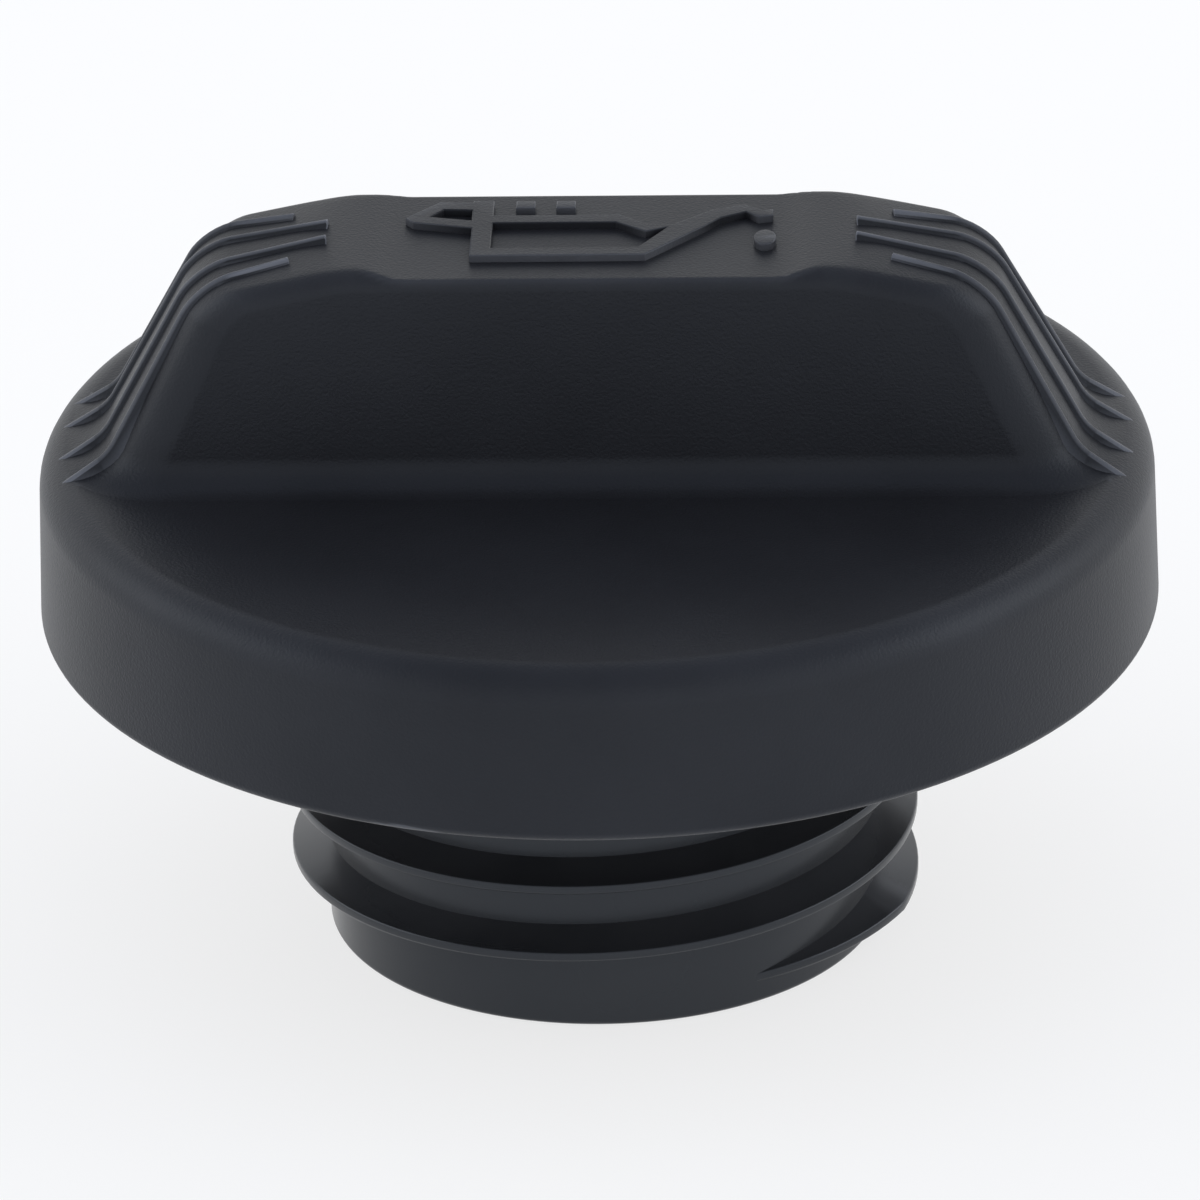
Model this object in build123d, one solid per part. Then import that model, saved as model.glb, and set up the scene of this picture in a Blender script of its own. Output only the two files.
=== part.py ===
from build123d import *
import os
from math import atan2, cos, degrees, radians, sqrt, tan

# Oil filler cap with a grip bar, in millimetres. +Z is up and the bar lies along X.
# The origin is the middle of the neck's bottom edge, on which the cap stands.

# Skirt and deck of the outer cap
skirt_diameter = 70.0  # outside, at the bottom edge
skirt_height = 11.0  # from the bottom edge to the deck's face
skirt_draft = 1.5  # degrees, narrowing upwards
skirt_wall = 2.2  # at the bottom edge
deck_wall = 2.4
rim_radius = 2.3  # rounding between skirt and deck
lip_chamfer = 0.5  # outside, at the skirt's bottom edge

# Grip bar across the deck
bar_height = 14.0  # above the deck
bar_width = 14.8  # at the deck
bar_draft = 2.9  # degrees, long sides
bar_inset = 4.3  # from the skirt's outside to the foot of the bar's end
bar_end_lean = 28.5  # degrees from upright
bar_shoulder_run = 7.5  # from the level top to the leaning end
bar_shoulder_fall = 12.0  # degrees
bar_shoulder_radius = 4.5
bar_edge_radius = 1.2  # long edges
bar_wall = 2.2
bar_web = 1.6  # cross webs inside the bar
bar_web_spacing = 18.0

# Shallow recess across the bar's top
recess_margin = 3.85  # level top left at each end
recess_depth = 0.45
recess_ramp = 0.9

# Grip ribs that fan out over each end of the bar, on to the deck
rib_angles = (4.1, 10.2)  # degrees, on both sides of the bar's middle line
rib_width = 0.85
rib_height = 0.55
rib_lead = 0.1  # how far the middle ribs begin before the level top ends
rib_stagger = 2.5  # how much later the outer ones begin
rib_bend = 1.5  # level above the deck where they leave the bar's end
rib_foot_radius = 3.0  # at that bend
rib_margin = 1.3  # from the rim's edge to the radius where they run out
rib_sink = 0.3  # how far their tips go on under the rim's rounding

# Keys and snap beads inside the skirt, which hold the plug
key_count = 6
key_width = 2.6
key_depth = 1.6
key_rise = 2.4  # from the skirt's bottom edge to the keys
bead_angle = 22.0  # degrees of arc
bead_depth = 1.1
bead_height = 1.5
bead_land = 0.4

# Threaded plug
neck_drop = 21.35  # from the skirt's bottom edge to the neck's bottom
neck_diameter = 34.9
neck_wall = 2.2
disc_wall = 2.4
disc_clearance = 0.25  # disc to skirt, keys to notches

# Coarse right-hand thread, one start
thread_depth = 2.3
thread_pitch = 4.63
thread_crest = 0.55
thread_flank = 21.0  # degrees from square
thread_turns = 2.38  # at full height
thread_lift = 2.29  # from the neck's bottom to the middle of the rib where it reaches its full height
thread_angle = -16.5  # where it reaches its full height, degrees round from +X
thread_fade = 42.0  # degrees over which it rises out of the neck and sinks back
thread_sink = 0.15  # how far its ends sink under the neck's wall
thread_root = 0.5  # how deep the rib is rooted in the neck

# Seal ring under the plug's disc
seal_width = 7.0
seal_thickness = 2.6
seal_clearance = 0.1  # round the neck

# Levels and radii that follow
skirt_bottom = neck_drop
deck = skirt_bottom + skirt_height
underside = deck - deck_wall
bar_top = deck + bar_height
disc_bottom = underside - disc_wall
skirt_slope = tan(radians(skirt_draft))
rim_edge = skirt_diameter / 2 - skirt_height * skirt_slope
bar_length = skirt_diameter - 2 * bar_inset
bar_end_rise = bar_height - bar_shoulder_run * tan(radians(bar_shoulder_fall))
bar_end_run = bar_end_rise * tan(radians(bar_end_lean))
bar_top_length = bar_length - 2 * (bar_shoulder_run + bar_end_run)
recess_length = bar_top_length - 2 * recess_margin
rim_start = rim_edge - rim_radius * tan(radians(45 - skirt_draft / 2))
rib_start = bar_top_length / 2 - rib_lead
rib_tip = rim_edge - rib_margin
rib_tip_fall = rim_radius - sqrt(rim_radius ** 2 - max(0, rib_tip - rim_start) ** 2)
skirt_inside = skirt_diameter / 2 - skirt_wall
disc_edge = skirt_inside - disc_clearance
neck = neck_diameter / 2


def rounded_face(corners):
    """Face whose corners are (x, y, rounding)."""
    points = [(x, y) for x, y, rounding in corners]
    return make_face(FilletPolyline(*points, radius=[c[2] for c in corners], close=True))


def mirrored(half):
    """Closed outline from its right half, listed from the top down."""
    return half + [(-x, y, rounding) for x, y, rounding in reversed(half)]


def turned(corners):
    return revolve(Plane.XZ * rounded_face(corners), Axis.Z)


def ring_of(shape, count, first=0.0):
    """Copies of a shape, spaced evenly round the Z axis."""
    return [Rot(0, 0, first + 360 / count * i) * shape for i in range(count)]


def shell():
    """Deck and skirt, open below."""
    return turned([
        (0, deck, 0),
        (rim_edge, deck, rim_radius),
        (skirt_diameter / 2 - lip_chamfer * skirt_slope, skirt_bottom + lip_chamfer, 0),
        (skirt_diameter / 2 - lip_chamfer, skirt_bottom, 0),
        (skirt_inside, skirt_bottom, 0),
        (skirt_inside, underside, 0),
        (0, underside, 0),
    ])


def shoulder(rise):
    """Corner between shoulder and leaning end, and the end's foot, on the bar's outline grown by rise."""
    fall, lean = tan(radians(bar_shoulder_fall)), tan(radians(bar_end_lean))
    level = bar_top_length / 2 + rise * tan(radians(bar_shoulder_fall / 2))
    foot = bar_length / 2 + rise / cos(radians(bar_end_lean))
    run = (foot - level - (bar_height + rise) * lean) / (1 - fall * lean)
    return level, level + run, bar_top + rise - run * fall, foot


def bar_outline(bottom):
    """The bar seen from its long side, with the recess, its ends leaning out as far as the bottom level."""
    level, corner_x, corner_z, foot = shoulder(0)
    spread = (deck - bottom) * tan(radians(bar_end_lean))
    return rounded_face(mirrored([
        (recess_length / 2 - recess_ramp, bar_top - recess_depth, 0),
        (recess_length / 2, bar_top, 0),
        (level, bar_top, 0),
        (corner_x, corner_z, bar_shoulder_radius),
        (foot + spread, bottom, 0),
    ]))


def bar_section(bottom, wall):
    """The bar seen from its end, narrower by the wall on each side."""
    slope = tan(radians(bar_draft))
    half = bar_width / 2 - wall
    top = bar_top + rib_height
    return rounded_face(mirrored([
        (half - (top - deck) * slope, top, 0),
        (half + (deck - bottom) * slope, bottom, 0),
    ]))


def grip_bar():
    bottom = deck - deck_wall / 2
    long_way = extrude(Plane.XZ * bar_outline(bottom), bar_width, both=True)
    cross_way = extrude(Plane.YZ * bar_section(bottom, 0), bar_length, both=True)
    bar = long_way & cross_way
    sides = bar.faces().sort_by(Axis.Y)
    edges = [e for face in (sides[0], sides[-1]) for e in face.edges().sort_by(Axis.Z)[1:]]
    return fillet(edges, bar_edge_radius)


def bar_core():
    """Hollow inside the bar, in three cells between two cross webs."""
    bottom = underside - bar_wall
    level, corner_x, corner_z, foot = shoulder(-bar_wall)
    spread = (deck - bottom) * tan(radians(bar_end_lean))
    outline = rounded_face(mirrored([
        (level, bar_top - bar_wall, 0),
        (corner_x, corner_z, 0),
        (foot + spread, bottom, 0),
    ]))
    long_way = extrude(Plane.XZ * outline, bar_width, both=True)
    cross_way = extrude(Plane.YZ * bar_section(bottom, bar_wall), bar_length, both=True)
    core = long_way & cross_way
    for x in (-bar_web_spacing / 2, bar_web_spacing / 2):
        core -= Pos(x, 0, bar_top) * Box(bar_web, bar_width, 2 * (bar_height + deck_wall))
    return core


def grip_rib(begin, angle):
    """A rib in its own upright plane, turned about the cap's axis. It runs out on the rim's rounding."""
    level, corner_x, corner_z, foot = shoulder(rib_height)
    bottom = deck - deck_wall / 2
    stretch = 1 / cos(radians(angle))
    bend = foot - rib_bend * tan(radians(bar_end_lean))
    slope = (rib_bend + rib_tip_fall) / (rib_tip - bend * stretch)
    end = rib_tip + rib_sink
    crest = extrude(Plane.XZ * rounded_face([
        (0, bar_top + rib_height, 0),
        (level * stretch, bar_top + rib_height, 0),
        (corner_x * stretch, corner_z, bar_shoulder_radius + rib_height),
        (bend * stretch, deck + rib_bend, rib_foot_radius),
        (end, deck - rib_tip_fall - rib_sink * slope, 0),
        (end, bottom, 0),
        (0, bottom, 0),
    ]), rib_width / 2, both=True)
    length = Pos((begin + end) / 2, 0, bar_top) * Box(end - begin, bar_width, 2 * (bar_height + deck_wall))
    return Rot(0, 0, angle) * (crest & length)


def grip_ribs():
    """Radial ribs over one end of the bar; the middle ones begin nearest to the axis."""
    return [grip_rib(rib_start + i * rib_stagger, side * angle)
            for i, angle in enumerate(rib_angles) for side in (-1, 1)]


def keys():
    height = underside - skirt_bottom - key_rise
    inner = skirt_inside - key_depth
    outer = skirt_inside + skirt_wall / 2
    key = Box(outer - inner, key_width, height, align=(Align.MIN, Align.CENTER, Align.MIN))
    return ring_of(Pos(inner, 0, skirt_bottom + key_rise) * key, key_count)


def beads():
    """Short beads on the skirt's inner wall, under the plug's disc and halfway between the keys."""
    section = rounded_face([
        (skirt_inside + skirt_wall / 2, disc_bottom, 0),
        (skirt_inside - bead_depth, disc_bottom, 0),
        (skirt_inside - bead_depth, disc_bottom - bead_land, 0),
        (skirt_inside, disc_bottom - bead_height, 0),
        (skirt_inside + skirt_wall / 2, disc_bottom - bead_height, 0),
    ])
    bead = Rot(0, 0, -bead_angle / 2) * revolve(Plane.XZ * section, Axis.Z, bead_angle)
    return ring_of(bead, key_count, 180 / key_count)


def outer_cap():
    ribs = grip_ribs()
    cap = shell() + grip_bar() + ribs + [Rot(0, 0, 180) * rib for rib in ribs]
    return cap - bar_core() + keys() + beads()


def thread_section():
    """The rib's trapezoid, on the +X side at level 0."""
    half_crest = thread_crest / 2
    half_root = half_crest + (thread_depth + thread_root) * tan(radians(thread_flank))
    return Plane.XZ * Polygon(
        (neck - thread_root, -half_root),
        (neck + thread_depth, -half_crest),
        (neck + thread_depth, half_crest),
        (neck - thread_root, half_root),
        align=None,
    )


def thread():
    """Rib wound round the neck. At each end it goes on along a narrowing helix and sinks into the wall."""
    fade_rise = thread_pitch * thread_fade / 360
    narrowing = atan2(thread_depth + thread_sink, fade_rise)
    winding_rise = thread_pitch * thread_turns
    winding_path = Helix(thread_pitch, winding_rise, neck)
    run_out_path = Helix(thread_pitch / cos(narrowing), fade_rise, neck, cone_angle=-degrees(narrowing))
    winding = sweep(thread_section(), path=winding_path, is_frenet=True)
    run_out = sweep(thread_section(), path=run_out_path, is_frenet=True)
    run_in = Rot(180, 0, 0) * run_out
    rib = winding + run_in + Pos(0, 0, winding_rise) * Rot(0, 0, 360 * thread_turns) * run_out
    return Pos(0, 0, thread_lift) * Rot(0, 0, thread_angle) * rib


def threaded_plug():
    """Disc under the deck with the threaded neck, hollow and closed at the top."""
    plug = turned([
        (0, underside, 0),
        (disc_edge, underside, 0),
        (disc_edge, disc_bottom, 0),
        (neck, disc_bottom, 0),
        (neck, 0, 0),
        (0, 0, 0),
    ])
    notch_inner = skirt_inside - key_depth - disc_clearance
    notch_width = key_width + 2 * disc_clearance
    notch = Box(skirt_diameter / 2 - notch_inner, notch_width, 2 * (disc_wall + disc_clearance),
                align=(Align.MIN, Align.CENTER, Align.CENTER))
    plug = plug - ring_of(Pos(notch_inner, 0, underside) * notch, key_count)
    bore = Cylinder(neck - neck_wall, disc_bottom, align=(Align.CENTER, Align.CENTER, Align.MIN))
    return plug + thread() - bore


def seal_ring():
    inner = neck + seal_clearance
    ring = Circle(inner + seal_width) - Circle(inner)
    return Pos(0, 0, disc_bottom) * extrude(ring, -seal_thickness)


os.makedirs("parts", exist_ok=True)
export_step(outer_cap(), "parts/outer_cap.step")
export_step(threaded_plug(), "parts/threaded_plug.step")
export_step(seal_ring(), "parts/seal_ring.step")
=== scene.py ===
import bmesh
import bpy
from math import cos, pi, radians, sin, sqrt, tan
from mathutils import Matrix, Vector


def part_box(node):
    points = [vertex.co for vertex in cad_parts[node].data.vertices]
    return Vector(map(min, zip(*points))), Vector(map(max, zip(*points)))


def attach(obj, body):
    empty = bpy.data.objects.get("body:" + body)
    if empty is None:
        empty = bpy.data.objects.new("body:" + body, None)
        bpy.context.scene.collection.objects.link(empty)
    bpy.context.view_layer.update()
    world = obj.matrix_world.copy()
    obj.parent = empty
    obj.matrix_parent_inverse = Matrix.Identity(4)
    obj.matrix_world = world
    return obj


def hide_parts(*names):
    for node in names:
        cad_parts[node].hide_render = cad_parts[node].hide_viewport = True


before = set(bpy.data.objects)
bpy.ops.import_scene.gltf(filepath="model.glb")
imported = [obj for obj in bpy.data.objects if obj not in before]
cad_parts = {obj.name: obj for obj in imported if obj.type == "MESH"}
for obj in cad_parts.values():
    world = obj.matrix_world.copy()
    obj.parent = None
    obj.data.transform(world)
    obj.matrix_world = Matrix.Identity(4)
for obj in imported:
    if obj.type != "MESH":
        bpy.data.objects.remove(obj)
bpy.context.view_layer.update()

mm = 0.001
scene = bpy.context.scene

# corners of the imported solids, in millimetres; the pieces are modelled in millimetres and scaled at the end
capLow, capHigh = [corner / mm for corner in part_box("outer_cap")]
sealLow, sealHigh = [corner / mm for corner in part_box("seal_ring")]
print("frame loaded")

# helpers

mergeGap = 0.0005   # points closer than this are one
closeBy = 0.001     # points closer than this are in the same place
deckSlack = 0.01    # points lower than this above the deck are on it


def makePiece(name, bm, material, smoothAngle=32):
    # merges, turns the faces outwards, scales to metres and puts the piece on the cap
    bmesh.ops.remove_doubles(bm, verts=bm.verts, dist=mergeGap)
    bmesh.ops.recalc_face_normals(bm, faces=bm.faces)
    bmesh.ops.scale(bm, vec=(mm, mm, mm), verts=bm.verts)
    mesh = bpy.data.meshes.new(name)
    bm.to_mesh(mesh)
    bm.free()
    mesh.shade_smooth()
    mesh.set_sharp_from_angle(angle=radians(smoothAngle))
    mesh.materials.append(material)
    piece = bpy.data.objects.new(name, mesh)
    scene.collection.objects.link(piece)
    weighted = piece.modifiers.new("flatFaces", "WEIGHTED_NORMAL")
    weighted.keep_sharp = True
    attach(piece, "root")
    return piece


def vertsOf(geom):
    return [item for item in geom if isinstance(item, bmesh.types.BMVert)]


def turn(bm, verts, angle):
    # about the cap's own axis
    bmesh.ops.rotate(bm, cent=(0, 0, 0), matrix=Matrix.Rotation(angle, 3, "Z"), verts=verts)


def roundCorner(bm, vert, radius, segments):
    # rounds one corner of a flat outline to the given radius
    a, b = [edge.other_vert(vert).co - vert.co for edge in vert.link_edges]
    offset = radius * tan((pi - a.angle(b)) / 2)
    bmesh.ops.bevel(bm, geom=[vert], offset=offset, offset_type="OFFSET", segments=segments, profile=0.5,
                    affect="VERTICES", material=-1, clamp_overlap=False)


def roundEdges(bm, edges, width, segments, clamp=True):
    bmesh.ops.bevel(bm, geom=edges, offset=width, offset_type="OFFSET", segments=segments, profile=0.5,
                    affect="EDGES", material=-1, clamp_overlap=clamp)


def outlineFace(bm, corners, segments):
    # a flat face in the XZ plane from (x, z, rounding) corners
    verts = [bm.verts.new((x, 0, z)) for x, z, rounding in corners]
    bm.faces.new(verts)
    for vert, corner in zip(verts, corners):
        if corner[2]:
            roundCorner(bm, vert, corner[2], segments)
    return max(bm.faces, key=lambda face: len(face.verts))


def pullWide(bm, face, halfWidthAt):
    # pulls a flat outline out along Y, to the half width that belongs to each place
    far = vertsOf(bmesh.ops.extrude_face_region(bm, geom=[face])["geom"])
    for vert in bm.verts:
        halfWidth = halfWidthAt(vert.co)
        vert.co.y = halfWidth if vert in far else -halfWidth
    bmesh.ops.recalc_face_normals(bm, faces=bm.faces)


def pullFace(bm, face):
    # extrudes one face of a closed shape and returns the new one
    grown = bmesh.ops.extrude_face_region(bm, geom=[face])["geom"]
    if face.is_valid:
        bmesh.ops.delete(bm, geom=[face], context="FACES_ONLY")
    return next(item for item in grown if isinstance(item, bmesh.types.BMFace))


def addInto(bm, part):
    mesh = bpy.data.meshes.new("part")
    part.to_mesh(mesh)
    part.free()
    bm.from_mesh(mesh)
    bpy.data.meshes.remove(mesh)


def lathe(bm, corners, steps, segments):
    # a closed section spun round the cap's axis
    part = bmesh.new()
    face = outlineFace(part, corners, segments)
    edges = face.edges[:]
    bmesh.ops.delete(part, geom=[face], context="FACES_ONLY")
    bmesh.ops.spin(part, geom=edges + part.verts[:], cent=(0, 0, 0), axis=(0, 0, 1), angle=2 * pi,
                   steps=steps, use_merge=True)
    bmesh.ops.remove_doubles(part, verts=part.verts, dist=mergeGap)
    bmesh.ops.delete(part, geom=[e for e in part.edges if not e.link_faces], context="EDGES")
    addInto(bm, part)


# materials

patchStart, patchEnd = 0.3, 0.7  # where the patches turn from the dark tone to the light one


def newMaterial(name):
    material = bpy.data.materials.new(name)
    material.use_nodes = True
    nodes, links = material.node_tree.nodes, material.node_tree.links
    return material, nodes, links, nodes["Principled BSDF"]


def objectCoords(nodes):
    return nodes.new("ShaderNodeTexCoord").outputs["Object"]


def noise(nodes, links, coords, scale, detail=4.0, roughness=0.55):
    node = nodes.new("ShaderNodeTexNoise")
    node.inputs["Scale"].default_value = scale
    node.inputs["Detail"].default_value = detail
    node.inputs["Roughness"].default_value = roughness
    links.new(coords, node.inputs["Vector"])
    return node.outputs["Fac"]


def ramp(nodes, links, source, stops):
    node = nodes.new("ShaderNodeValToRGB")
    for element, (place, colour) in zip(node.color_ramp.elements, stops):
        element.position = place
        element.color = colour + (1,)
    links.new(source, node.inputs["Fac"])
    return node.outputs["Color"]


def patchTones(nodes, links, patches, look):
    return ramp(nodes, links, patches, [(patchStart, look["dark"]), (patchEnd, look["light"])])


def levels(nodes, links, source, low, high):
    node = nodes.new("ShaderNodeMapRange")
    node.inputs["To Min"].default_value = low
    node.inputs["To Max"].default_value = high
    links.new(source, node.inputs["Value"])
    return node.outputs["Result"]


def bump(nodes, links, height, look):
    node = nodes.new("ShaderNodeBump")
    node.inputs["Distance"].default_value = look["bumpDistance"]
    node.inputs["Strength"].default_value = look["bumpStrength"]
    links.new(height, node.inputs["Height"])
    return node.outputs["Normal"]


def edgeWearAndHighlight(nodes, links, colour, patches, look):
    # convex edges are painted lighter, unevenly: partly wear, partly a painted highlight where edges catch
    # the light
    convexness = nodes.new("ShaderNodeMapRange")
    convexness.inputs["From Min"].default_value = look["edgeStart"]
    convexness.inputs["From Max"].default_value = look["edgeFull"]
    links.new(nodes.new("ShaderNodeNewGeometry").outputs["Pointiness"], convexness.inputs["Value"])
    amount = nodes.new("ShaderNodeMath")
    amount.operation = "MULTIPLY"
    links.new(convexness.outputs["Result"], amount.inputs[0])
    links.new(patches, amount.inputs[1])
    # mixes in the edge tone: wear and a painted highlight
    wearAndHighlight = nodes.new("ShaderNodeMix")
    wearAndHighlight.data_type = "RGBA"
    links.new(amount.outputs[0], wearAndHighlight.inputs[0])
    links.new(colour, wearAndHighlight.inputs[6])
    wearAndHighlight.inputs[7].default_value = look["edge"] + (1,)
    return wearAndHighlight.outputs[2]


# edge is the tone of convex edges: partly wear, partly a painted highlight
matteLook = {"dark": (0.0125, 0.0128, 0.0152), "light": (0.0165, 0.017, 0.020), "patch": 70,
             "grain": 5200, "grainDetail": 2.0, "roughLow": 0.36, "roughHigh": 0.44,
             "specular": 0.25, "glint": (0.78, 0.87, 1.0), "bumpDistance": 0.00004, "bumpStrength": 0.75,
             "edge": (0.11, 0.115, 0.13), "edgeStart": 0.51, "edgeFull": 0.58}
ribHighlightLook = dict(matteLook, edge=(0.2, 0.21, 0.24), edgeStart=0.5, edgeFull=0.55)  # crests painted much lighter: a painted highlight where the rib crests catch the light


def mattePlastic(name, look):
    material, nodes, links, shader = newMaterial(name)
    coords = objectCoords(nodes)
    patches = noise(nodes, links, coords, look["patch"])
    grain = noise(nodes, links, coords, look["grain"], look["grainDetail"])
    colour = patchTones(nodes, links, patches, look)
    # base colour with wear and a painted highlight on convex edges
    links.new(edgeWearAndHighlight(nodes, links, colour, patches, look), shader.inputs["Base Color"])
    roughness = levels(nodes, links, grain, look["roughLow"], look["roughHigh"])
    links.new(roughness, shader.inputs["Roughness"])
    shader.inputs["Specular IOR Level"].default_value = look["specular"]
    shader.inputs["Specular Tint"].default_value = look["glint"] + (1,)
    links.new(bump(nodes, links, grain, look), shader.inputs["Normal"])
    return material


# edge is the tone of convex edges: partly wear, partly a painted highlight
glossLook = {"dark": (0.010, 0.0105, 0.012), "light": (0.014, 0.0145, 0.016), "patch": 90,
             "ripple": 900, "rippleDetail": 3.0, "roughLow": 0.2, "roughHigh": 0.28,
             "specular": 0.5, "glint": (0.8, 0.88, 1.0), "bumpDistance": 0.00002, "bumpStrength": 0.25,
             "edge": (0.05, 0.052, 0.058), "edgeStart": 0.52, "edgeFull": 0.62}


def glossPlastic():
    material, nodes, links, shader = newMaterial("glossPlastic")
    coords = objectCoords(nodes)
    patches = noise(nodes, links, coords, glossLook["patch"])
    ripple = noise(nodes, links, coords, glossLook["ripple"], glossLook["rippleDetail"])
    colour = patchTones(nodes, links, patches, glossLook)
    # base colour with wear and a painted highlight on convex edges
    links.new(edgeWearAndHighlight(nodes, links, colour, patches, glossLook), shader.inputs["Base Color"])
    roughness = levels(nodes, links, patches, glossLook["roughLow"], glossLook["roughHigh"])
    links.new(roughness, shader.inputs["Roughness"])
    shader.inputs["Specular IOR Level"].default_value = glossLook["specular"]
    shader.inputs["Specular Tint"].default_value = glossLook["glint"] + (1,)
    links.new(bump(nodes, links, ripple, glossLook), shader.inputs["Normal"])
    return material


rubberLook = {"dark": (0.008, 0.008, 0.0085), "light": (0.014, 0.014, 0.015), "patch": 160,
              "grain": 2200, "grainDetail": 3.0, "roughLow": 0.6, "roughHigh": 0.78,
              "specular": 0.35, "bumpDistance": 0.00003, "bumpStrength": 0.4}


def sealRubber():
    material, nodes, links, shader = newMaterial("sealRubber")
    coords = objectCoords(nodes)
    patches = noise(nodes, links, coords, rubberLook["patch"])
    grain = noise(nodes, links, coords, rubberLook["grain"], rubberLook["grainDetail"])
    links.new(patchTones(nodes, links, patches, rubberLook), shader.inputs["Base Color"])
    roughness = levels(nodes, links, patches, rubberLook["roughLow"], rubberLook["roughHigh"])
    links.new(roughness, shader.inputs["Roughness"])
    shader.inputs["Specular IOR Level"].default_value = rubberLook["specular"]
    links.new(bump(nodes, links, grain, rubberLook), shader.inputs["Normal"])
    return material


# the rib material is the matte one with a stronger painted highlight on the crests
matte, ribHighlightMatte = mattePlastic("mattePlastic", matteLook), mattePlastic("ribHighlightPlastic", ribHighlightLook)
gloss, rubber = glossPlastic(), sealRubber()
print("materials made")

# cap shell: deck, rim and skirt, with keys and snap beads inside

shell = {"height": 11.0, "draft": 1.5, "wall": 2.2, "deckWall": 2.4, "rimRadius": 2.3, "lipRadius": 0.6,
         "lipChamfer": 0.5, "insideRound": 0.4, "steps": 180, "segments": 8,
         "keys": 6, "keyWidth": 2.6, "keyDepth": 1.6, "keyRise": 2.4, "keyRound": 0.3,
         "beadAngle": 22, "beadDepth": 1.1, "beadHeight": 1.5, "beadLand": 0.4, "beadRound": 0.12,
         "beadSteps": 12, "smallSegments": 3}
skirtBottom = capLow.z
deck = skirtBottom + shell["height"]
underside = deck - shell["deckWall"]
skirtSlope = tan(radians(shell["draft"]))
# the solid is widest at the top of its chamfered lip
skirtRadius = capHigh.x + shell["lipChamfer"] * skirtSlope
rimEdge = skirtRadius - shell["height"] * skirtSlope
rimStart = rimEdge - shell["rimRadius"] * tan(radians(45 - shell["draft"] / 2))
skirtInside = skirtRadius - shell["wall"]
skirtMiddle = skirtInside + shell["wall"] / 2
discBottom = sealHigh.z


def skirtKey(angle):
    # an upright key from the deck's underside down the inside of the skirt
    key = bmesh.new()
    bmesh.ops.create_cube(key, size=1)
    inner = skirtInside - shell["keyDepth"]
    bottom = skirtBottom + shell["keyRise"]
    bmesh.ops.scale(key, vec=(skirtMiddle - inner, shell["keyWidth"], underside - bottom), verts=key.verts)
    bmesh.ops.translate(key, vec=((inner + skirtMiddle) / 2, 0, (bottom + underside) / 2), verts=key.verts)
    inward = [e for e in key.edges if e.verts[0].co.x + e.verts[1].co.x < inner + skirtMiddle]
    roundEdges(key, inward, shell["keyRound"], shell["smallSegments"])
    turn(key, key.verts, angle)
    return key


def snapBead(angle):
    # a short ridge on the inside of the skirt that holds the plug's disc from below
    bead = bmesh.new()
    inner = skirtInside - shell["beadDepth"]
    bottom = discBottom - shell["beadHeight"]
    face = outlineFace(bead, [
        (skirtMiddle, discBottom, 0),
        (inner, discBottom, shell["beadRound"]),
        (inner, discBottom - shell["beadLand"], shell["beadRound"]),
        (skirtInside, bottom, 0),
        (skirtMiddle, bottom, 0),
    ], shell["smallSegments"])
    sweep = radians(shell["beadAngle"])
    turn(bead, bead.verts, angle - sweep / 2)
    endFace = bmesh.ops.duplicate(bead, geom=[face])["geom"]
    turn(bead, vertsOf(endFace), sweep)
    bmesh.ops.spin(bead, geom=face.edges[:] + face.verts[:], cent=(0, 0, 0), axis=(0, 0, 1),
                   angle=sweep, steps=shell["beadSteps"])
    return bead


def capShell():
    bm = bmesh.new()
    lathe(bm, [
        (0, deck, 0),
        (rimEdge, deck, shell["rimRadius"]),
        (skirtRadius, skirtBottom, shell["lipRadius"]),
        (skirtInside, skirtBottom, shell["lipRadius"]),
        (skirtInside, underside, shell["insideRound"]),
        (0, underside, 0),
    ], shell["steps"], shell["segments"])
    spacing = 2 * pi / shell["keys"]
    for i in range(shell["keys"]):
        addInto(bm, skirtKey(i * spacing))
        addInto(bm, snapBead((i + 0.5) * spacing))  # beads stand midway between the keys
    return makePiece("capShell", bm, matte)


capPiece = capShell()
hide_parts("outer_cap")
print("cap shell made")

# grip bar: a drafted block with a falling shoulder at each end, a shallow recess and a rounded foot

bar = {"height": 14.0, "width": 14.8, "draft": 2.9, "inset": 3.8, "endLean": 28.5,
       "shoulderRun": 8.0, "shoulderFall": 12, "shoulderRadius": 4.5, "shoulderLoops": (0.34, 0.48, 0.62),
       "crownRadius": 20, "edgeRadius": 1.2, "segments": 8, "cuts": 17,
       "turnStart": 14.5, "turnFull": 18.0,
       "cornerStart": 4.2, "cornerPull": 0.2, "cornerNear": 18.0, "cornerFar": 26.0,
       "recessMargin": 2.2, "recessDepth": 0.45, "recessRamp": 3.0, "rampSteps": 8,
       "footRadius": 2.0, "footSegments": 6, "brim": 2.2, "brimDrop": 0.03, "sink": 0.8, "lift": 0.01}
barTop = deck + bar["height"]
barLean, barFall = tan(radians(bar["endLean"])), tan(radians(bar["shoulderFall"]))
barFoot = skirtRadius - bar["inset"]
barLevel = barFoot - bar["shoulderRun"] - (barTop - deck - bar["shoulderRun"] * barFall) * barLean
recessEnd = barLevel - bar["recessMargin"]


def barShoulder(rise):
    # end of the level top, corner of the shoulder and foot of the end, on the outline grown by rise
    level = barLevel + rise * tan(radians(bar["shoulderFall"] / 2))
    foot = barFoot + rise / cos(radians(bar["endLean"]))
    run = (foot - level - (barTop - deck + rise) * barLean) / (1 - barFall * barLean)
    return level, level + run, barTop + rise - run * barFall, foot


def share(value, start, full):
    # 0 up to start, 1 from full on, and even between them
    return min(1, max(0, (value - start) / (full - start)))


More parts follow.
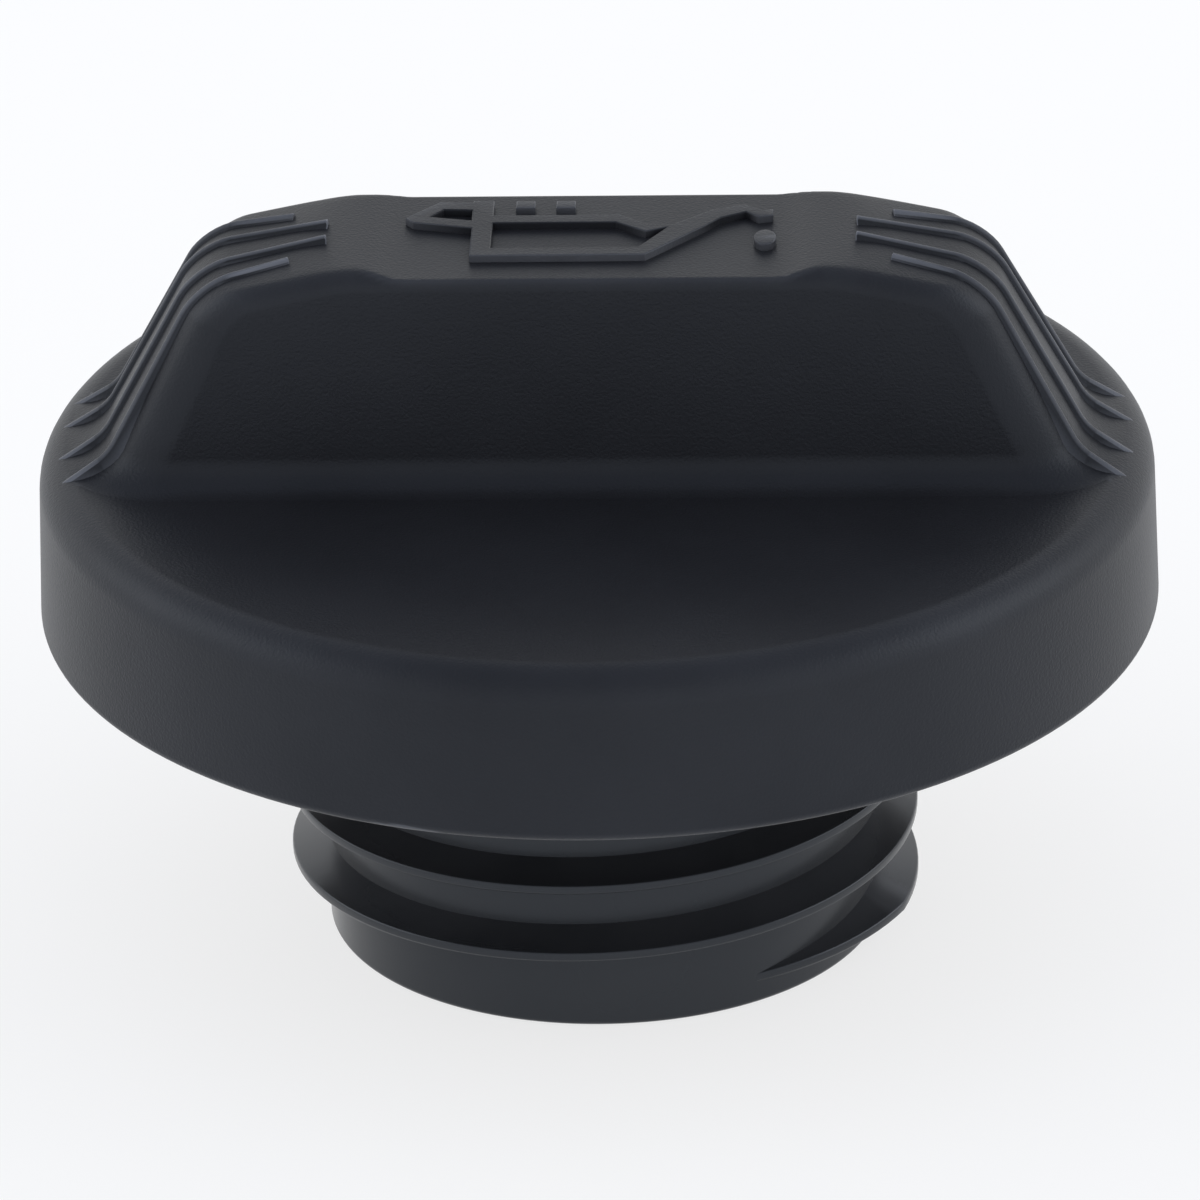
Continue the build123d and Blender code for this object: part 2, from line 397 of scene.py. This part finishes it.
def turnEnds(bm):
    # bends the bar's ends round the cap's axis and softens their corners, more and more outwards
    for vert in bm.verts:
        reach = abs(vert.co.x)
        turned = share(reach, bar["turnStart"], bar["turnFull"])
        if turned:
            corner = max(0, abs(vert.co.y) - bar["cornerStart"]) ** 2 * bar["cornerPull"]
            corner *= share(reach, bar["cornerNear"], bar["cornerFar"]) ** 2
            place = sqrt(reach ** 2 - vert.co.y ** 2) - corner
            vert.co.x *= 1 + (place / reach - 1) * turned


def pressRecess(bm):
    # presses the top down to the recess floor between its two ramps
    for vert in bm.verts:
        along = max(0, abs(vert.co.x) - recessEnd + bar["recessRamp"]) / bar["recessRamp"]
        if along < 1:
            vert.co.z = min(vert.co.z, barTop - bar["recessDepth"] * (1 + cos(pi * along)) / 2)


def spreadFoot(bm):
    # the foot spreads out on to the deck, is rounded, and ends just under it
    strips = [f for f in bm.faces if max(v.co.z for v in f.verts) < deck + deckSlack]
    bottom = bmesh.ops.dissolve_faces(bm, faces=strips)["region"][0]
    footLoop = set(bottom.verts)
    spread = pullFace(bm, bottom)
    for vert in spread.verts:
        vert.co.x += bar["brim"] if vert.co.x > 0 else -bar["brim"]
        vert.co.y *= 1 + 2 * bar["brim"] / bar["width"]
    sunk = pullFace(bm, spread)
    brimLoop = [v for v in bm.verts
                if v.co.z < deck + deckSlack and v not in footLoop and v not in sunk.verts]
    bmesh.ops.translate(bm, vec=(0, 0, -bar["sink"]), verts=sunk.verts)
    bmesh.ops.recalc_face_normals(bm, faces=bm.faces)
    bmesh.ops.translate(bm, vec=(0, 0, -bar["brimDrop"]), verts=brimLoop)
    footEdges = [e for e in bm.edges if e.verts[0] in footLoop and e.verts[1] in footLoop]
    roundEdges(bm, footEdges, bar["footRadius"], bar["footSegments"], False)
    bmesh.ops.translate(bm, vec=(0, 0, bar["lift"]), verts=bm.verts)


def followRim(bm):
    # beyond the flat deck the foot follows the rim's rounding down
    for vert in bm.verts:
        beyond = min(shell["rimRadius"], max(0, vert.co.xy.length - rimStart))
        vert.co.z -= shell["rimRadius"] - sqrt(shell["rimRadius"] ** 2 - beyond ** 2)


def gripBar():
    bm = bmesh.new()
    level, cornerX, cornerZ, foot = barShoulder(0)
    half = [(recessEnd - bar["recessRamp"] * (1 - i / bar["rampSteps"]), barTop, 0)
            for i in range(bar["rampSteps"] + 1)]
    half.append((level, barTop, bar["crownRadius"]))
    half += [(level + part * (cornerX - level), barTop + part * (cornerZ - barTop), 0)
             for part in bar["shoulderLoops"]]
    half += [(cornerX, cornerZ, bar["shoulderRadius"]), (foot, deck, 0)]
    mirrored = [(-x, z, rounding) for x, z, rounding in reversed(half)]
    face = outlineFace(bm, half + mirrored, bar["segments"])
    pullWide(bm, face, lambda co: bar["width"] / 2 - (co.z - deck) * tan(radians(bar["draft"])))
    topEdges = [e for e in bm.edges if e.verts[0].co.y * e.verts[1].co.y > 0
                and max(v.co.z for v in e.verts) > deck + deckSlack]
    roundEdges(bm, topEdges, bar["edgeRadius"], bar["segments"], False)
    across = [e for e in bm.edges if e.verts[0].co.y * e.verts[1].co.y < 0]
    bmesh.ops.subdivide_edges(bm, edges=across, cuts=bar["cuts"], use_grid_fill=True)
    turnEnds(bm)
    pressRecess(bm)
    spreadFoot(bm)
    followRim(bm)
    return makePiece("gripBar", bm, matte)


gripBar()
print("grip bar made")

# grip ribs: two on each side of the bar's middle line at each end, from the top down to the rim

rib = {"angles": (4.1, 10.2), "height": 0.32, "depth": 1.5, "crest": 0.36, "base": 2.4, "lead": 0.1,
       "stagger": 2.5, "bend": 1.6, "bendRadius": 3.0, "margin": 1.3, "tipFall": 0.2, "tipSink": 0.4,
       "round": 0.17, "roundSegments": 4, "strip": 0.05, "segments": 8, "smoothAngle": 40}


def ribBlade(begin, angle):
    # one rib in its own upright plane: narrow at the crest, wider where it stands in the bar, then turned
    level, cornerX, cornerZ, foot = barShoulder(rib["height"])
    innerX, innerZ, innerFoot = barShoulder(rib["height"] - rib["depth"])[1:]
    bend = foot - rib["bend"] * barLean
    tip = rimEdge - rib["margin"]
    slope = (rib["bend"] + rib["tipFall"]) / (tip - bend)
    end = tip + rib["tipSink"]
    beginZ = barTop + rib["height"] - max(0, begin - level) * barFall
    crest = [(begin, beginZ, 0)]
    if begin < level:
        crest.append((level, barTop + rib["height"], 0))
    crest += [
        (cornerX, cornerZ, bar["shoulderRadius"] + rib["height"]),
        (bend, deck + rib["bend"], rib["bendRadius"]),
        (end, deck - rib["tipFall"] - rib["tipSink"] * slope, 0),
    ]
    base = [
        (end, deck - rib["depth"], 0),
        (innerFoot, deck - rib["depth"], 0),
        (innerX, innerZ, 0),
        (begin, beginZ - rib["depth"], 0),
    ]

    def halfWidthAt(co):
        atBase = any(abs(co.x - x) + abs(co.z - z) < closeBy for x, z, rounding in base)
        return (rib["base"] if atBase else rib["crest"]) / 2

    blade = bmesh.new()
    face = outlineFace(blade, crest + base, rib["segments"])
    pullWide(blade, face, halfWidthAt)
    edges = [e for e in blade.edges if e.verts[0].co.y * e.verts[1].co.y > 0
             and all(abs(abs(v.co.y) - rib["crest"] / 2) < closeBy for v in e.verts)]
    edges += [e for e in blade.edges
              if all(abs(v.co.x - begin) < closeBy and v.co.z > beginZ - closeBy for v in e.verts)]
    roundEdges(blade, edges, rib["round"], rib["roundSegments"])
    # a narrow strip along each flank keeps the painted crest highlight on the crest
    flanks = sorted(blade.faces, key=lambda f: f.calc_area())[-2:]
    bmesh.ops.inset_individual(blade, faces=flanks, thickness=rib["strip"], use_even_offset=True)
    turn(blade, blade.verts, angle)
    return blade


def gripRibs():
    bm = bmesh.new()
    for end in (0, pi):
        for i, angle in enumerate(rib["angles"]):
            begin = barLevel - rib["lead"] + i * rib["stagger"]
            for side in (-1, 1):
                addInto(bm, ribBlade(begin, end + side * radians(angle)))
    return makePiece("gripRibs", bm, ribHighlightMatte, rib["smoothAngle"])


gripRibs()
print("grip ribs made")

# raised oil-can sign in the recess: outlines in millimetres, x along the bar and y across it

sign = {"height": 0.5, "edge": 0.09, "edgeSteps": 2, "sink": 0.15}
canOutline = [(-7.45, -3.8), (3.4, -3.75), (6.9, 0.4), (8.0, 1.8), (9.5, 2.65), (10.3, 1.85), (11.2, 2.1),
              (11.2, 3.0), (10.5, 2.9), (9.4, 3.75), (7.4, 3.0), (5.1, 0.85), (3.5, 0.75), (1.7, 2.35),
              (-6.15, 2.35), (-6.15, 4.6), (-7.45, 4.6), (-7.5, 4.35), (-9.55, 4.45), (-11.6, 2.05),
              (-11.1, 1.35), (-7.45, 0.45)]
canHole = [(-6.15, 1.2), (1.45, 1.2), (3.35, -0.25), (4.65, 0.35), (2.95, -2.6), (-6.15, -2.65)]
handleHole = [(-7.5, 3.2), (-9.25, 3.3), (-10.1, 2.2), (-7.5, 1.6)]
knob = {"lefts": (-4.8, -2.3), "width": 1.2, "front": 3.45, "back": 4.5}
drop = {"place": (10.75, -1.25), "width": 1.4, "length": 2.3, "corners": 16}


def knobOutline(left):
    right = left + knob["width"]
    return [(left, knob["front"]), (right, knob["front"]), (right, knob["back"]), (left, knob["back"])]


def dropOutline():
    x, y = drop["place"]
    angles = [2 * pi * i / drop["corners"] for i in range(drop["corners"])]
    return [(x + drop["width"] / 2 * cos(a), y + drop["length"] / 2 * sin(a)) for a in angles]


def oilSign():
    curve = bpy.data.curves.new("oilSign", "CURVE")
    curve.dimensions = "2D"
    curve.fill_mode = "BOTH"
    curve.extrude = (sign["height"] + sign["sink"]) / 2 - sign["edge"]
    curve.bevel_depth = sign["edge"]
    curve.bevel_resolution = sign["edgeSteps"]
    curve.offset = -sign["edge"]
    knobs = [knobOutline(left) for left in knob["lefts"]]
    for outline in [canOutline, canHole, handleHole, dropOutline()] + knobs:
        spline = curve.splines.new("POLY")
        spline.points.add(len(outline) - 1)
        for point, (x, y) in zip(spline.points, outline):
            point.co = (x, y, 0, 1)
        spline.use_cyclic_u = True
    holder = bpy.data.objects.new("signCurve", curve)
    scene.collection.objects.link(holder)
    bpy.context.view_layer.update()
    mesh = bpy.data.meshes.new_from_object(holder.evaluated_get(bpy.context.evaluated_depsgraph_get()))
    bpy.data.objects.remove(holder)
    bm = bmesh.new()
    bm.from_mesh(mesh)
    recessFloor = barTop - bar["recessDepth"]
    middle = recessFloor + (sign["height"] - sign["sink"]) / 2
    bmesh.ops.translate(bm, vec=(0, 0, middle), verts=bm.verts)
    return makePiece("oilSign", bm, matte)


oilSign()
print("sign made")

# threaded plug: a closed disc and a hollow neck

plug = {"neckDiameter": 34.9, "wall": 2.2, "discClearance": 0.25, "discRound": 0.3, "neckRound": 0.35,
        "rootRound": 0.4, "boreRound": 1.0, "steps": 144, "segments": 5}
neckRadius = plug["neckDiameter"] / 2


def plugBody():
    bm = bmesh.new()
    discEdge = skirtInside - plug["discClearance"]
    bore = neckRadius - plug["wall"]
    lathe(bm, [
        (0, underside, 0),
        (discEdge, underside, plug["discRound"]),
        (discEdge, discBottom, plug["discRound"]),
        (neckRadius, discBottom, plug["rootRound"]),
        (neckRadius, 0, plug["neckRound"]),
        (bore, 0, plug["neckRound"]),
        (bore, discBottom, plug["boreRound"]),
        (0, discBottom, 0),
    ], plug["steps"], plug["segments"])
    return makePiece("plugBody", bm, gloss)


plugPiece = plugBody()
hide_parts("threaded_plug")
print("plug body made")

# thread: one coarse right-hand rib round the neck that fades in and out

thread = {"pitch": 4.63, "depth": 2.3, "crest": 0.55, "flank": 21, "turns": 2.38, "lift": 2.29,
          "angle": -16.5, "fade": 42, "sink": 0.15, "deepest": 1.4, "root": 0.5, "round": 0.16,
          "stepsPerTurn": 120, "segments": 3}


def threadRib():
    bm = bmesh.new()
    halfCrest = thread["crest"] / 2
    halfRoot = halfCrest + (thread["depth"] + thread["root"]) * tan(radians(thread["flank"]))
    face = outlineFace(bm, [
        (neckRadius - thread["root"], -halfRoot, 0),
        (neckRadius + thread["depth"], -halfCrest, thread["round"]),
        (neckRadius + thread["depth"], halfCrest, thread["round"]),
        (neckRadius - thread["root"], halfRoot, 0),
    ], thread["segments"])
    fade = radians(thread["fade"])
    winding = thread["turns"] * 2 * pi + 2 * fade
    steps = round(winding / (2 * pi) * thread["stepsPerTurn"])
    rise = thread["pitch"] / (2 * pi)
    sectionSize = len(face.verts)
    bmesh.ops.spin(bm, geom=face.edges[:] + face.verts[:] + [face], cent=(0, 0, 0), axis=(0, 0, 1),
                   dvec=(0, 0, winding * rise / steps), angle=winding, steps=steps)
    # each section in turn: at both ends it moves in until the rib is under the neck's wall
    bm.verts.ensure_lookup_table()
    for index, vert in enumerate(bm.verts):
        turned = index // sectionSize * winding / steps
        sunk = max(0, 1 - min(turned, winding - turned) / fade) * (thread["depth"] + thread["sink"])
        radius = vert.co.xy.length
        vert.co.xy *= max(radius - sunk, neckRadius - thread["deepest"]) / radius
    bmesh.ops.translate(bm, vec=(0, 0, thread["lift"] - fade * rise), verts=bm.verts)
    turn(bm, bm.verts, radians(thread["angle"]) - fade)
    return makePiece("threadRib", bm, gloss)


threadRib()
print("thread made")

# seal ring: a flat gasket round the neck, under the disc

seal = {"clearance": 0.1, "topRound": 0.2, "round": 0.35, "steps": 120, "segments": 4}


def sealRing():
    bm = bmesh.new()
    inside = neckRadius + seal["clearance"]
    lathe(bm, [
        (inside, sealHigh.z, seal["topRound"]),
        (sealHigh.x, sealHigh.z, seal["round"]),
        (sealHigh.x, sealLow.z, seal["round"]),
        (inside, sealLow.z, seal["round"]),
    ], seal["steps"], seal["segments"])
    return makePiece("sealRing", bm, rubber)


sealPiece = sealRing()
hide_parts("seal_ring")
print("seal made")

# floor, light and camera, in metres

studio = {"floorHalf": 6, "floorColour": (0.95, 0.95, 0.95), "floorRough": 0.9, "floorGap": 0.00002,
          "floorGlow": 0.7, "ambient": 1.4,
          "low": 0.42, "lowSky": (1.0, 1.0, 1.0), "high": 0.8, "highSky": (0.38, 0.42, 0.5),
          "front": -0.85, "frontShare": (0.72, 0.73, 0.76), "side": -0.2, "sideShare": (1, 1, 1)}
lamp = {"side": 0.7, "back": 0.05, "height": 0.4, "aim": (0, 0, 0.03), "size": (0.7, 0.5),
        "leftPower": 1.0, "rightPower": 1.3}


def seenRays(nodes, links):
    # 1 for rays from the camera and for mirrored and see-through ones, 0 for the rest
    rays = nodes.new("ShaderNodeLightPath")
    seen = rays.outputs["Is Camera Ray"]
    for kind in ("Is Glossy Ray", "Is Transmission Ray"):
        either = nodes.new("ShaderNodeMath")
        either.operation = "MAXIMUM"
        links.new(seen, either.inputs[0])
        links.new(rays.outputs[kind], either.inputs[1])
        seen = either.outputs[0]
    return seen


def makeFloor():
    bm = bmesh.new()
    bmesh.ops.create_grid(bm, x_segments=1, y_segments=1, size=studio["floorHalf"])
    mesh = bpy.data.meshes.new("floor")
    bm.to_mesh(mesh)
    bm.free()
    floor = bpy.data.objects.new("floor", mesh)
    floor.location.z = -studio["floorGap"]
    scene.collection.objects.link(floor)
    material, nodes, links, shader = newMaterial("paleFloor")
    shader.inputs["Base Color"].default_value = studio["floorColour"] + (1,)
    shader.inputs["Roughness"].default_value = studio["floorRough"]
    shader.inputs["Specular IOR Level"].default_value = 0.0
    glow = nodes.new("ShaderNodeEmission")
    glow.inputs["Strength"].default_value = 1.0
    blend = nodes.new("ShaderNodeMixShader")
    links.new(levels(nodes, links, seenRays(nodes, links), 0.0, studio["floorGlow"]), blend.inputs["Fac"])
    links.new(shader.outputs["BSDF"], blend.inputs[1])
    links.new(glow.outputs["Emission"], blend.inputs[2])
    links.new(blend.outputs["Shader"], nodes["Material Output"].inputs["Surface"])
    mesh.materials.append(material)


def makeWorld():
    world = bpy.data.worlds.new("studio")
    scene.world = world
    world.use_nodes = True
    nodes, links = world.node_tree.nodes, world.node_tree.links
    strength = levels(nodes, links, seenRays(nodes, links), studio["ambient"], 1.0)
    links.new(strength, nodes["Background"].inputs["Strength"])
    # white near the horizon, darker and cooler overhead
    direction = nodes.new("ShaderNodeSeparateXYZ")
    links.new(objectCoords(nodes), direction.inputs["Vector"])
    sky = ramp(nodes, links, direction.outputs["Z"],
               [(studio["low"], studio["lowSky"]), (studio["high"], studio["highSky"])])
    # the front of the studio is darker than its sides and back
    depth = nodes.new("ShaderNodeMapRange")
    depth.inputs["From Min"].default_value = studio["front"]
    depth.inputs["From Max"].default_value = studio["side"]
    links.new(direction.outputs["Y"], depth.inputs["Value"])
    dimmer = ramp(nodes, links, depth.outputs["Result"],
                  [(0, studio["frontShare"]), (1, studio["sideShare"])])
    both = nodes.new("ShaderNodeMix")
    both.data_type = "RGBA"
    both.blend_type = "MULTIPLY"
    both.inputs["Factor"].default_value = 1
    links.new(sky, both.inputs[6])
    links.new(dimmer, both.inputs[7])
    links.new(both.outputs[2], nodes["Background"].inputs["Color"])


def softLight(name, side, power):
    light = bpy.data.lights.new(name, "AREA")
    light.shape = "RECTANGLE"
    light.size, light.size_y = lamp["size"]
    light.energy = power
    holder = bpy.data.objects.new(name, light)
    place = Vector((side * lamp["side"], lamp["back"], lamp["height"]))
    holder.location = place
    holder.rotation_euler = (Vector(lamp["aim"]) - place).to_track_quat("-Z", "Y").to_euler()
    scene.collection.objects.link(holder)


# the photograph's viewpoint: place in millimetres, angles in degrees
view = {"place": (29.61, -753.69, 377.75), "turn": 2.25, "pitch": 25.31, "roll": -1.32,
        "lens": 399.4, "sensor": 36, "clip": (0.05, 50)}


def makeCamera():
    data = bpy.data.cameras.new("camera")
    data.lens = view["lens"]
    data.sensor_width = view["sensor"]
    data.clip_start, data.clip_end = view["clip"]
    camera = bpy.data.objects.new("camera", data)
    camera.matrix_world = (Matrix.Translation(Vector(view["place"]) * mm)
                           @ Matrix.Rotation(radians(view["turn"]), 4, "Z")
                           @ Matrix.Rotation(radians(90 - view["pitch"]), 4, "X")
                           @ Matrix.Rotation(radians(view["roll"]), 4, "Z"))
    scene.collection.objects.link(camera)
    scene.camera = camera


makeFloor()
makeWorld()
softLight("leftLight", -1, lamp["leftPower"])
softLight("rightLight", 1, lamp["rightPower"])
makeCamera()
scene.view_settings.view_transform = "Standard"
print("studio ready")
